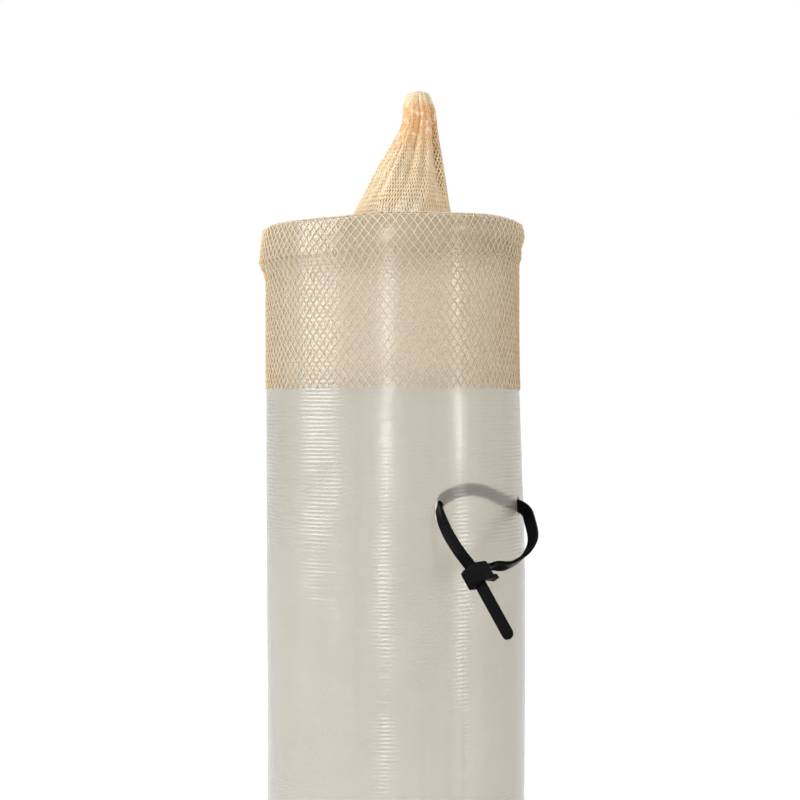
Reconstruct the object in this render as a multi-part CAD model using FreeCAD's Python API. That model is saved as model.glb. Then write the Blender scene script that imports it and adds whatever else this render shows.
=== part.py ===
"""Tree guard tube: a short plastic tree shelter with a folded lip, a net sock
over its top and a releasable tie for the stake. Millimetres, +Z up, origin in
the middle of the bottom end."""
import FreeCAD
import Part
import math
import os

Vector = FreeCAD.Vector

# Tube
TUBE_OUTER_D = 106.0
TUBE_WALL = 1.0
TUBE_LENGTH = 305.0

# Folded lip: the top of the wall is turned outward and down
LIP_HEIGHT = 15.0
LIP_REACH = 2.5           # how far the cuff stands out from the tube's outside

# Slots for the tie
SLOT_BELOW_RIM = 113.5
SLOT_ANGLES = (18.5, 69.9)     # degrees from -Y towards +X
SLOT_END_CLEARANCE = 1.5       # above and below the strap
SLOT_SIDE_CLEARANCE = 1.2      # on each face of the strap

# Net sock
NET_THICKNESS = 0.6
NET_CLEARANCE = 0.3            # between the net and the plastic
NET_BELOW_RIM = 66.0           # how far the hem hangs below the rim
NET_TIP_HEIGHT = 56.0          # peak above the rim
NET_TIP_SHIFT = 0.19           # sideways lean of the peak, as a share of the tube's radius

# Releasable tie
STRAP_WIDTH = 4.8
STRAP_THICKNESS = 1.3
TAIL_LENGTH = 27.0             # from the middle of the head to the tip
HEAD_CHEEK = 1.2               # wall each side of the strap
HEAD_DEPTH = 7.6               # along the strap
HEAD_END_WALL = 1.6            # beyond the strap, away from the root
HEAD_BODY = 4.6                # from the strap to the side where the root leaves
HEAD_SIDE_CLEARANCE = 0.4      # strap to cheek
HEAD_FACE_CLEARANCE = 0.3      # strap to head, face to face
NECK_THICKNESS = 1.5
NECK_WIDTH = 2.8
NECK_LENGTH = 6.5

# Release lever, which carries the pawl
LEVER_SIDE_CLEARANCE = 0.3
LEVER_LENGTH = 7.8             # from its hinge to the thumb tip
LEVER_ARM_WIDTH = 2.8
LEVER_THICKNESS = 1.2
LEVER_BARREL_R = 1.2
LEVER_PIVOT_R = 0.6
LEVER_PIVOT_LENGTH = 0.8
PIVOT_CLEARANCE = 0.05
THUMB_TURN = 0.8               # how far the thumb tip turns away from the root

# The loop's route through the slots: along the line between the slots (1 is a
# slot), out from it, up from it, and the direction of the strap's width there.
# The first list runs from the head to the first slot, the second inside the
# tube from slot to slot, the third from the second slot round to the root.
ROUTE_TO_SLOT = [
    (-1.18, 16.7, -16.3, (0.07, 0.82, 0.57)),
    (-1.21, 12.8, -11.8, (0.05, 0.81, 0.58)),
    (-1.19, 8.5, -7.3, (0.06, 0.76, 0.64)),
    (-1.11, 3.9, -3.0, (0.02, 0.62, 0.78)),
    (-1.00, 0.0, 0.0, (0.00, 0.32, 0.95)),
]
ROUTE_INSIDE = [
    (-0.91, -2.3, 2.2, (0.05, 0.20, 0.97)),
    (-0.68, -2.9, 5.2, (-0.10, 0.00, 0.99)),
    (-0.32, -2.7, 7.1, (0.00, 0.00, 1.00)),
    (0.08, -2.4, 6.9, (0.05, 0.00, 1.00)),
    (0.50, -2.3, 4.2, (0.10, 0.00, 0.99)),
    (0.86, -2.1, 1.2, (0.10, 0.15, 0.98)),
    (1.00, 0.0, 0.0, (0.05, 0.27, 0.96)),
]
ROUTE_TO_ROOT = [
    (1.00, 3.3, -1.4, (0.24, 0.52, 0.80)),
    (0.84, 9.0, -4.8, (0.38, 0.74, 0.55)),
    (0.63, 14.9, -9.5, (0.32, 0.74, 0.58)),
    (0.47, 18.0, -12.5, (0.26, 0.75, 0.60)),
    (0.30, 19.5, -15.4, (0.20, 0.76, 0.61)),
    (0.12, 20.1, -17.9, (0.17, 0.76, 0.62)),
    (-0.09, 20.2, -19.7, (0.15, 0.76, 0.62)),
    (-0.31, 20.0, -20.7, (0.12, 0.78, 0.60)),
]
HEAD_PLACE = (-1.08, 20.9, -23.1)          # the middle of the strap in the head
HEAD_THREAD_DIR = (0.08, 0.57, -0.82)      # the way the tail leaves the head
HEAD_ROOT_DIR = (0.99, -0.13, 0.02)        # the way the root leaves the head

SECTION_STEP = 2.0                         # between the strap's sections

outer_r = TUBE_OUTER_D / 2
inner_r = outer_r - TUBE_WALL
wall_r = outer_r - TUBE_WALL / 2
lip_r = outer_r + LIP_REACH
slot_z = TUBE_LENGTH - SLOT_BELOW_RIM
slot_height = STRAP_WIDTH + 2 * SLOT_END_CLEARANCE
slot_width = STRAP_THICKNESS + 2 * SLOT_SIDE_CLEARANCE
UP = Vector(0, 0, 1)


def wall_direction(angle):
    """Outward direction at an angle in degrees from -Y towards +X."""
    return Vector(math.sin(math.radians(angle)), -math.cos(math.radians(angle)), 0)


middle_angle = sum(SLOT_ANGLES) / 2
half_spread = math.radians(abs(SLOT_ANGLES[1] - SLOT_ANGLES[0]) / 2)
half_chord = wall_r * math.sin(half_spread)
out_dir = wall_direction(middle_angle)
along_dir = UP.cross(out_dir)
chord_middle = out_dir * (wall_r * math.cos(half_spread)) + UP * slot_z


def chord_direction(along, out, up):
    """A direction given along, out from and up from the line between the slots."""
    return along_dir * along + out_dir * out + UP * up


def chord_point(share, out, up):
    """A point given by its share of the way to a slot, and out and up in mm."""
    return chord_middle + chord_direction(share * half_chord, out, up)


def head_frame():
    """The head's middle, thread direction, root direction and width direction."""
    thread = chord_direction(*HEAD_THREAD_DIR).normalize()
    root = chord_direction(*HEAD_ROOT_DIR)
    root = (root - thread * root.dot(thread)).normalize()
    return chord_point(*HEAD_PLACE), thread, root, thread.cross(root)


head_middle, thread_dir, root_dir, width_dir = head_frame()
head_half_depth = HEAD_DEPTH / 2
strap_gap = STRAP_THICKNESS / 2 + HEAD_FACE_CLEARANCE
pocket_half = STRAP_WIDTH / 2 + HEAD_SIDE_CLEARANCE
head_half_width = pocket_half + HEAD_CHEEK
head_root_side = STRAP_THICKNESS / 2 + HEAD_BODY
head_end = strap_gap + HEAD_END_WALL
neck_end = head_root_side + NECK_LENGTH
neck_middle = -head_half_depth + NECK_THICKNESS / 2


def head_point(root, thread, width=0.0):
    """A point in the head's own frame."""
    return head_middle + root_dir * root + thread_dir * thread + width_dir * width


def head_prism(points, half_width):
    """A solid with an outline in root and thread directions, even about the middle."""
    corners = [head_point(r, t, -half_width) for r, t in points]
    wire = Part.makePolygon(corners + corners[:1])
    return Part.Face(wire).extrude(width_dir * (2 * half_width))


def head_box(root_range, thread_range, half_width):
    """A rectangular solid in the head's own frame."""
    (r0, r1), (t0, t1) = root_range, thread_range
    return head_prism([(r0, t0), (r1, t0), (r1, t1), (r0, t1)], half_width)


def head_pin(root, thread, radius, half_length):
    """A round bar across the head."""
    return Part.makeCylinder(radius, 2 * half_length, head_point(root, thread, -half_length), width_dir)


def revolved(edges):
    """A solid turned about the tube's axis from a closed profile in X and Z."""
    return Part.Face(Part.Wire(edges)).revolve(Vector(0, 0, 0), UP, 360)


def line(a, b):
    return Part.LineSegment(Vector(a[0], 0, a[1]), Vector(b[0], 0, b[1])).toShape()


def arc(a, middle, b):
    points = [Vector(p[0], 0, p[1]) for p in (a, middle, b)]
    return Part.Arc(*points).toShape()


def slot_cutter(angle):
    """An obround bar through the wall, its ends rounded."""
    half = slot_width / 2
    reach = outer_r + LIP_REACH
    across = UP.cross(wall_direction(angle))
    straight = slot_height / 2 - half

    def at(sideways, up):
        return across * sideways + UP * (slot_z + up)

    edges = [
        Part.LineSegment(at(half, -straight), at(half, straight)).toShape(),
        Part.Arc(at(half, straight), at(0, straight + half), at(-half, straight)).toShape(),
        Part.LineSegment(at(-half, straight), at(-half, -straight)).toShape(),
        Part.Arc(at(-half, -straight), at(0, -straight - half), at(half, -straight)).toShape(),
    ]
    return Part.Face(Part.Wire(edges)).extrude(wall_direction(angle) * reach)


def make_tube():
    """The wall and its folded lip in one piece, with a slot for each pass of the tie."""
    fold_r = (lip_r - inner_r) / 2
    fold_middle = (lip_r + inner_r) / 2
    fold_z = TUBE_LENGTH - fold_r
    cuff_inner = lip_r - TUBE_WALL
    cuff_z = TUBE_LENGTH - LIP_HEIGHT
    tube = revolved([
        line((inner_r, 0), (inner_r, fold_z)),
        arc((inner_r, fold_z), (fold_middle, TUBE_LENGTH), (lip_r, fold_z)),
        line((lip_r, fold_z), (lip_r, cuff_z)),
        line((lip_r, cuff_z), (cuff_inner, cuff_z)),
        line((cuff_inner, cuff_z), (cuff_inner, fold_z)),
        arc((cuff_inner, fold_z), (fold_middle, TUBE_LENGTH - TUBE_WALL), (outer_r, fold_z)),
        line((outer_r, fold_z), (outer_r, 0)),
        line((outer_r, 0), (inner_r, 0)),
    ])
    for angle in SLOT_ANGLES:
        tube = tube.cut(slot_cutter(angle))
    return tube


net_inner_r = outer_r + NET_CLEARANCE
net_lip_r = lip_r + NET_CLEARANCE
net_split_z = TUBE_LENGTH - (lip_r - inner_r) / 2
net_hem_z = TUBE_LENGTH - NET_BELOW_RIM


def make_net_skirt():
    """The net's sleeve: close to the wall below the lip and out over the cuff."""
    step_low = TUBE_LENGTH - LIP_HEIGHT - LIP_REACH
    step_high = TUBE_LENGTH - LIP_HEIGHT - NET_CLEARANCE
    t = NET_THICKNESS
    inside = [(net_inner_r, net_hem_z), (net_inner_r, step_low), (net_lip_r, step_high),
              (net_lip_r, net_split_z)]
    outside = [(r + t, z) for r, z in reversed(inside)]
    outline = inside + outside
    return revolved([line(a, b) for a, b in zip(outline, outline[1:] + outline[:1])])


def crown_rings(thickness):
    """Rings of the net's top, from the lip to the peak: radius, height, sideways shift."""
    over_lip = TUBE_LENGTH + NET_CLEARANCE + thickness
    rings = [
        (net_lip_r + thickness, net_split_z, 0.0),
        (net_lip_r + thickness - 0.35, TUBE_LENGTH - 0.1 + thickness / 2, 0.0),
        (outer_r + 0.8 + thickness, over_lip, 0.0),
        (inner_r, over_lip + 0.3, 0.0),
    ]
    # radius and lean as shares of the tube's radius, height as a share of the peak's
    slope = [(0.80, 0.02, 0.0), (0.58, 0.055, 0.02), (0.45, 0.09, 0.04), (0.36, 0.145, 0.06),
             (0.30, 0.285, 0.085), (0.222, 0.50, 0.13), (0.15, 0.70, 0.17), (0.112, 0.85, 0.185),
             (0.098, 0.94, NET_TIP_SHIFT), (0.07, 0.99, NET_TIP_SHIFT)]
    for radius, height, lean in slope:
        rings.append((radius * outer_r - NET_THICKNESS + thickness,
                      over_lip + height * NET_TIP_HEIGHT, lean * outer_r))
    return rings


def lofted_rings(rings):
    """A solid through level rings."""
    wires = []
    for radius, height, shift in rings:
        circle = Part.makeCircle(radius, Vector(shift, 0, height), UP)
        wires.append(Part.Wire([circle]))
    return Part.makeLoft(wires, True, True)


def make_net_crown():
    """The closed top of the net: nearly flat over the opening, drawn up to a leaning peak."""
    return lofted_rings(crown_rings(NET_THICKNESS)).cut(lofted_rings(crown_rings(0.0)))


def route_stations():
    """Points of the strap's middle line from tail tip to root, each with its width direction."""
    straight = [TAIL_LENGTH, TAIL_LENGTH * 0.66, TAIL_LENGTH * 0.36, head_half_depth,
                0.0, -head_half_depth]
    stations = [(head_point(0, t), width_dir) for t in straight]
    for share, out, up, width in ROUTE_TO_SLOT + ROUTE_INSIDE + ROUTE_TO_ROOT:
        stations.append((chord_point(share, out, up), chord_direction(*width)))
    stations.append((head_point(neck_end + 1.5, neck_middle), width_dir))
    stations.append((head_point(neck_end, neck_middle), width_dir))
    return stations


def strap_section(centre, tangent, width_hint, width, thickness):
    """A rectangle square to the strap's run."""
    across = (width_hint - tangent * width_hint.dot(tangent)).normalize()
    through = tangent.cross(across)
    corners = [centre + across * (a * width / 2) + through * (b * thickness / 2)
               for a, b in ((1, 1), (-1, 1), (-1, -1), (1, -1))]
    return Part.makePolygon(corners + corners[:1])


def make_strap():
    """The strap in its loop: tail, through the head, out and in through the slots, to the root."""
    stations = route_stations()
    curve = Part.BSplineCurve()
    curve.interpolate(Points=[p for p, _ in stations],
                      InitialTangent=-thread_dir, FinalTangent=-root_dir)
    marks = [curve.parameter(p) for p, _ in stations]
    length = curve.length()
    count = int(length / SECTION_STEP)
    sections = []
    tip_shape = [(0.0, 0.50), (0.3, 0.72), (1.0, 0.90), (2.0, 1.0)]
    places = [d for d, _ in tip_shape] + [length * i / count for i in range(2, count + 1)]
    shares = [s for _, s in tip_shape] + [1.0] * (count - 1)
    for place, share in zip(places, shares):
        at = curve.parameterAtDistance(place, curve.FirstParameter)
        step = max(i for i, m in enumerate(marks[:-1]) if m <= at + 1e-6)
        blend = (at - marks[step]) / (marks[step + 1] - marks[step])
        hint = stations[step][1] * (1 - blend) + stations[step + 1][1] * blend
        tangent = curve.tangent(at)[0].normalize()
        sections.append(strap_section(curve.value(at), tangent, hint.normalize(),
                                      STRAP_WIDTH * share, STRAP_THICKNESS))
    strap = Part.makeLoft(sections, True, True)
    print("strap length %.1f, volume %.1f, section times length %.1f"
          % (length, strap.Volume, length * STRAP_WIDTH * STRAP_THICKNESS))
    return strap


hinge_root = strap_gap + LEVER_BARREL_R + 1.0
hinge_thread = head_half_depth - 3.0
pocket_top = -head_half_depth + NECK_THICKNESS + 0.3


def make_head():
    """The head with its neck: a slot for the strap and a pocket for the pawl between cheeks."""
    block = head_box((-head_end, head_root_side), (-head_half_depth, head_half_depth), head_half_width)
    rims = [e for e in block.Edges
            if abs(e.tangentAt(e.FirstParameter).normalize().dot(width_dir)) > 0.99]
    block = block.makeFillet(min(1.0, HEAD_END_WALL * 0.6), rims)
    neck = head_box((head_root_side - 0.5, neck_end),
                    (-head_half_depth, -head_half_depth + NECK_THICKNESS), NECK_WIDTH / 2)
    passage = head_box((-strap_gap, strap_gap), (-HEAD_DEPTH, HEAD_DEPTH), pocket_half)
    pocket = head_box((0, 2 * head_root_side), (pocket_top, HEAD_DEPTH), pocket_half)
    bearing = head_pin(hinge_root, hinge_thread, LEVER_PIVOT_R + PIVOT_CLEARANCE,
                       pocket_half - LEVER_SIDE_CLEARANCE + LEVER_PIVOT_LENGTH + PIVOT_CLEARANCE)
    return block.cut(pocket).fuse(neck).cut(passage).cut(bearing).removeSplitter()


def make_lever():
    """The release lever: a pawl facing the strap, a barrel with two pivots and a thumb tip."""
    half_width = pocket_half - LEVER_SIDE_CLEARANCE
    face = strap_gap + 0.1
    tip = hinge_root + LEVER_LENGTH
    low = hinge_thread + LEVER_THICKNESS
    pawl = head_prism([(face, hinge_thread - 1.8), (face + 0.9, hinge_thread - 1.8),
                       (hinge_root + 0.6, hinge_thread - 0.7), (hinge_root, hinge_thread + 1.0),
                       (face, hinge_thread + 0.3)], half_width)
    arm = head_prism([(hinge_root, hinge_thread - 0.2), (head_root_side + 0.6, hinge_thread + 0.1),
                      (tip, hinge_thread + 0.2), (tip + 0.6, low + THUMB_TURN),
                      (tip - 1.0, low + THUMB_TURN), (tip - 1.6, low + 0.5),
                      (hinge_root + 0.6, low - 0.3)], LEVER_ARM_WIDTH / 2)
    barrel = head_pin(hinge_root, hinge_thread, LEVER_BARREL_R, half_width)
    pivots = head_pin(hinge_root, hinge_thread, LEVER_PIVOT_R, half_width + LEVER_PIVOT_LENGTH)
    return barrel.fuse([pawl, arm, pivots]).removeSplitter()


def write(name, shape):
    """Write one sub-part and print what it measures."""
    box = shape.BoundBox
    print("%-12s valid %s solids %d volume %.1f box %.1f..%.1f %.1f..%.1f %.1f..%.1f" % (
        name, shape.isValid(), len(shape.Solids), shape.Volume,
        box.XMin, box.XMax, box.YMin, box.YMax, box.ZMin, box.ZMax))
    shape.exportStep("parts/%s.step" % name)


os.makedirs("parts", exist_ok=True)
write("shelter_tube", make_tube())
write("net_skirt", make_net_skirt())
write("net_crown", make_net_crown())
write("tie_strap", make_strap())
write("tie_head", make_head())
write("release_lever", make_lever())
print("hinge of the tie: %s along %s" % (chord_middle, along_dir * -1))
print("hinge of the lever: %s along %s" % (head_point(hinge_root, hinge_thread), width_dir * -1))
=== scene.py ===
"""Looks of a tree guard tube: a milky plastic tube with a folded lip, a knitted net pulled over
its top, and a black releasable tie that goes in and out through two slots in the wall."""
import math

import bmesh
import bpy
import numpy as np
from bpy.props import FloatProperty, FloatVectorProperty, IntProperty, PointerProperty
from mathutils import Euler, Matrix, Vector


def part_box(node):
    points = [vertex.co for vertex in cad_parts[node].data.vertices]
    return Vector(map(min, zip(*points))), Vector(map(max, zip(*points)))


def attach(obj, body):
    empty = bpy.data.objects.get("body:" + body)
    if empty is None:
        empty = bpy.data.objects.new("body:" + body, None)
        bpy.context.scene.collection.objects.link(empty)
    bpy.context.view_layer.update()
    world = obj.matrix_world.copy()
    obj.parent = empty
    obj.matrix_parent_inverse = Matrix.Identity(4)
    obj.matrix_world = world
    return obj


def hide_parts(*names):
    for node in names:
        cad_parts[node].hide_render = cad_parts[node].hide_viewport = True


bl_info = {
    "name": "Tree Guard Tube",
    "version": (1, 0, 0),
    "blender": (4, 5, 0),
    "location": "3D View > Sidebar > Tree Guard",
    "description": "Builds the tube, net and tie of a tree guard around its measured parts",
    "category": "Add Mesh",
}

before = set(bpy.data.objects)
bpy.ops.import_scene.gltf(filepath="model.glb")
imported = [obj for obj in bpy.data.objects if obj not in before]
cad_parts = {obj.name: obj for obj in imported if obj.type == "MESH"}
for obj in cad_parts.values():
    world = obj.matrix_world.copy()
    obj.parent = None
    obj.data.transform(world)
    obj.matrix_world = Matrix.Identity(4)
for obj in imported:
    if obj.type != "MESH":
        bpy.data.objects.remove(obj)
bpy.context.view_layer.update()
MM = 0.001
TUBE_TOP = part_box("shelter_tube")[1].z
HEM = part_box("net_skirt")[0].z

# The slots: bearings in degrees from the front towards +X, and their height.
SLOT_BEARINGS = (18.5, 69.9)
SLOT_HEIGHT = 191.5 * MM
WALL_MIDDLE = 52.5 * MM
TEAR_LINE_BEARING = 29.5
FOLD_RADIUS = 0.68 * MM

# The strap's route in the frame of the straight line between the slots: share of the half line,
# out from it and up from it in mm, and the direction of the strap's width there.
ROUTE = [
    (-1.18, 16.7, -16.3, (0.07, 0.82, 0.57)), (-1.21, 12.8, -11.8, (0.05, 0.81, 0.58)),
    (-1.19, 8.5, -7.3, (0.06, 0.76, 0.64)), (-1.11, 3.9, -3.0, (0.02, 0.62, 0.78)),
    (-1.00, 0.0, 0.0, (0.00, 0.32, 0.95)), (-0.91, -2.3, 2.2, (0.05, 0.20, 0.97)),
    (-0.68, -2.9, 5.2, (-0.10, 0.00, 0.99)), (-0.32, -2.7, 7.1, (0.00, 0.00, 1.00)),
    (0.08, -2.4, 6.9, (0.05, 0.00, 1.00)), (0.50, -2.3, 4.2, (0.10, 0.00, 0.99)),
    (0.86, -2.1, 1.2, (0.10, 0.15, 0.98)), (1.00, 0.0, 0.0, (0.05, 0.27, 0.96)),
    (1.00, 3.3, -1.4, (0.24, 0.52, 0.80)), (0.84, 9.0, -4.8, (0.38, 0.74, 0.55)),
    (0.63, 14.9, -9.5, (0.32, 0.74, 0.58)), (0.47, 18.0, -12.5, (0.26, 0.75, 0.60)),
    (0.30, 19.5, -15.4, (0.20, 0.76, 0.61)), (0.12, 20.1, -17.9, (0.17, 0.76, 0.62)),
    (-0.09, 20.2, -19.7, (0.15, 0.76, 0.62)), (-0.31, 20.0, -20.7, (0.12, 0.78, 0.60)),
]
HEAD_PLACE = (-1.08, 20.9, -23.1)
HEAD_THREAD = (0.08, 0.57, -0.82)
HEAD_ROOT = (0.99, -0.13, 0.02)
TAIL_STATIONS = (27.0, 17.82, 9.72, 3.8, 0.0, -3.8)
NECK_END, NECK_MIDDLE = 11.75, -3.05

# The net stands this far off what it lies on.
NET_CLEARANCE = 0.12 * MM
# Distances from the hem: where the lip begins to hold the rows level, and where the net starts
# to bunch into its peak and is fully bunched.
HELD_FROM = 62 * MM
BUNCHED_FROM, BUNCHED_BY = 94 * MM, 116 * MM
# A column is this wide where the cloth is open enough for its crossings to stray fully.
OPEN_COLUMN = 3.3 * MM

# The net's top from the lip inwards: radius, height above the rim and sideways lean in mm.
CROWN_RINGS = [
    (42.4, 1.3, 0.3), (30.7, 1.9, 1.0), (24.6, 2.7, 1.8), (20.9, 4.6, 2.4), (19.0, 8.2, 3.0),
    (15.8, 15.6, 4.7), (13.9, 20.6, 5.7), (11.1, 28.0, 7.2), (8.4, 35.4, 8.7), (6.9, 40.4, 9.6),
    (6.4, 42.9, 9.9), (5.8, 47.8, 9.9), (4.9, 52.4, 9.3), (3.5, 55.0, 9.4), (0.4, 56.0, 9.4),
]


# ---------------------------------------------------------------- node trees

class Socket:
    """An output of a node, with the arithmetic that the trees use."""

    def __init__(self, tree, socket):
        self.tree = tree
        self.socket = socket

    def maths(self, operation, *values):
        return self.tree.node("ShaderNodeMath", {"operation": operation}, dict(enumerate(values)))

    def __add__(self, other):
        return self.maths("ADD", self, other)

    def __sub__(self, other):
        return self.maths("SUBTRACT", self, other)

    def __rsub__(self, other):
        return self.maths("SUBTRACT", other, self)

    def __mul__(self, other):
        return self.maths("MULTIPLY", self, other)

    __radd__ = __add__
    __rmul__ = __mul__


class Tree:
    """A node tree that is written as expressions."""

    def __init__(self, tree):
        self.tree = tree

    def node(self, kind, settings=None, sockets=None, out=0):
        """Add a node: its settings first, then its sockets' values or links."""
        made = self.tree.nodes.new(kind)
        for name, value in (settings or {}).items():
            setattr(made, name, value)
        for name, value in (sockets or {}).items():
            if isinstance(value, Socket):
                self.tree.links.new(value.socket, made.inputs[name])
            else:
                made.inputs[name].default_value = value
        return Socket(self, made.outputs[out])

    def rays(self, *kinds):
        """1 for light rays of any of these kinds, and 0 for the rest."""
        first, *others = [self.node("ShaderNodeLightPath", out="Is %s Ray" % kind)
                          for kind in kinds]
        for other in others:
            first = first.maths("MAXIMUM", first, other)
        return first


class Finish(Tree):
    """A material, with the patterns that the finishes share."""

    def __init__(self, name):
        self.material = bpy.data.materials.new(name)
        self.material.use_nodes = True
        super().__init__(self.material.node_tree)
        self.tree.nodes.clear()
        self.place = self.node("ShaderNodeTexCoord", out="Object")

    def stretched(self, scale):
        """Object coordinates, scaled to suit a pattern in repeats per metre."""
        return self.node("ShaderNodeMapping", {"vector_type": "POINT"},
                         {"Vector": self.place, "Scale": scale})

    def noise(self, scale, detail=2.0, roughness=0.5):
        """Cloudy pattern from 0 to 1, with its repeats per metre along X, Y and Z."""
        return self.node("ShaderNodeTexNoise", {"noise_dimensions": "3D"},
                         {"Vector": self.stretched(scale), "Scale": 1.0, "Detail": detail,
                          "Roughness": roughness})

    def lift(self):
        """Height above the floor."""
        return self.node("ShaderNodeSeparateXYZ", None, {"Vector": self.place}, out="Z")

    def between(self, value, low, high):
        """Rise from 0 to 1 as the value goes from low to high."""
        return self.node("ShaderNodeMapRange", {"interpolation_type": "SMOOTHSTEP"},
                         {"Value": value, "From Min": low, "From Max": high})

    def blend(self, share, first, second):
        """Mix of two colours."""
        return self.node("ShaderNodeMix", {"data_type": "RGBA"},
                         {"Factor": share, 6: first, 7: second}, out=2)

    def bump(self, height, distance, after=None):
        """Normal of a surface raised by a pattern, on top of another where one is given."""
        sockets = {"Height": height, "Distance": distance}
        if after:
            sockets["Normal"] = after
        return self.node("ShaderNodeBump", None, sockets)

    def surface(self, sockets):
        """End the material in one plastic or cloth shader."""
        shader = self.node("ShaderNodeBsdfPrincipled", None, sockets, out="BSDF")
        self.node_output(shader)
        return self.material

    def node_output(self, shader):
        """End the material in a shader."""
        made = self.tree.nodes.new("ShaderNodeOutputMaterial")
        self.tree.links.new(shader.socket, made.inputs["Surface"])


class Builder(Tree):
    """A geometry tree with named inputs that ends in real geometry with a material."""

    def __init__(self, name, inputs):
        super().__init__(bpy.data.node_groups.new(name, "GeometryNodeTree"))
        face = self.tree.interface
        face.new_socket("Geometry", in_out="INPUT", socket_type="NodeSocketGeometry")
        face.new_socket("Geometry", in_out="OUTPUT", socket_type="NodeSocketGeometry")
        self.keys = {}
        for label, value in inputs.items():
            kind = "NodeSocketInt" if isinstance(value, int) else "NodeSocketFloat"
            self.keys[label] = face.new_socket(label, in_out="INPUT", socket_type=kind).identifier
        self.values = inputs
        self.group = self.tree.nodes.new("NodeGroupInput")

    def given(self, label):
        """The group input of that name."""
        return Socket(self, self.group.outputs[label])

    def named(self, label, kind="FLOAT_VECTOR"):
        return self.node("GeometryNodeInputNamedAttribute", {"data_type": kind}, {"Name": label})

    def circle(self, corners, radius):
        """A ring, or the section of a round bar."""
        return self.node("GeometryNodeCurvePrimitiveCircle", {"mode": "RADIUS"},
                         {"Resolution": corners, "Radius": radius})

    def spaced(self):
        """Points along the given line, a pitch apart."""
        line = self.node("GeometryNodeMeshToCurve", None, {0: self.given("Geometry")})
        return self.node("GeometryNodeResampleCurve", {"mode": "LENGTH"},
                         {"Curve": line, "Length": self.given("Pitch")})

    def facing(self):
        """Rotation whose Z follows the outward attribute and whose X follows the run."""
        level = self.node("FunctionNodeAlignRotationToVector", {"axis": "Z"},
                          {"Vector": self.named("outward")})
        return self.node("FunctionNodeAlignRotationToVector", {"axis": "X", "pivot_axis": "Z"},
                         {"Rotation": level, "Vector": self.named("run")})

    def finish(self, shape, material, smooth=True):
        """Realize the shape, give it its material and close the tree."""
        real = self.node("GeometryNodeRealizeInstances", None, {0: shape})
        shaded = self.node("GeometryNodeSetShadeSmooth", None, {0: real, "Shade Smooth": smooth})
        made = self.node("GeometryNodeSetMaterial", None, {0: shaded, "Material": material})
        out = self.tree.nodes.new("NodeGroupOutput")
        self.tree.links.new(made.socket, out.inputs[0])

    def grow(self, context, piece):
        """Run the tree on a piece and keep the result as its plain mesh."""
        modifier = piece.modifiers.new(self.tree.name, "NODES")
        modifier.node_group = self.tree
        for label, key in self.keys.items():
            modifier[key] = self.values[label]
        settle(context, piece)


# ---------------------------------------------------------------- shapes

def smooth(value, low, high):
    """Rise from 0 to 1 between two values."""
    share = np.clip((np.asarray(value, float) - low) / (high - low), 0.0, 1.0)
    return share * share * (3.0 - 2.0 * share)


def linear(red, green, blue):
    """Screen colour from 0 to 255 as the light values that a shader takes."""
    return tuple((c / 255 / 12.92) if c <= 10 else ((c / 255 + 0.055) / 1.055) ** 2.4
                 for c in (red, green, blue))


def new_piece(context, name, mesh, *materials):
    """An object at the origin with that mesh."""
    piece = bpy.data.objects.new(name, mesh)
    context.scene.collection.objects.link(piece)
    for material in materials:
        mesh.materials.append(material)
    return piece


def mesh_from(name, points, faces=(), edges=()):
    """A mesh from plain lists of points, faces and edges."""
    mesh = bpy.data.meshes.new(name)
    mesh.from_pydata([tuple(p) for p in points], list(edges), [tuple(f) for f in faces])
    mesh.update()
    return mesh


def settle(context, piece):
    """Turn a piece's modifiers into its plain mesh."""
    context.view_layer.update()
    graph = context.evaluated_depsgraph_get()
    mesh = bpy.data.meshes.new_from_object(piece.evaluated_get(graph))
    piece.modifiers.clear()
    piece.data = mesh


def shade(mesh, angle=0.6):
    """Smooth shading, with edges sharper than the angle left crisp."""
    mesh.shade_smooth()
    mesh.set_sharp_from_angle(angle=angle)


def line_piece(context, name, points, outward, run):
    """An open line whose points carry the directions that repeated shapes turn to."""
    count = len(points)
    mesh = mesh_from(name, points, edges=[(i, i + 1) for i in range(count - 1)])
    for label, values in (("outward", outward), ("run", run)):
        attribute = mesh.attributes.new(label, "FLOAT_VECTOR", "POINT")
        attribute.data.foreach_set("vector", np.asarray(values, np.float32).ravel())
    return new_piece(context, name, mesh)


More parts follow.
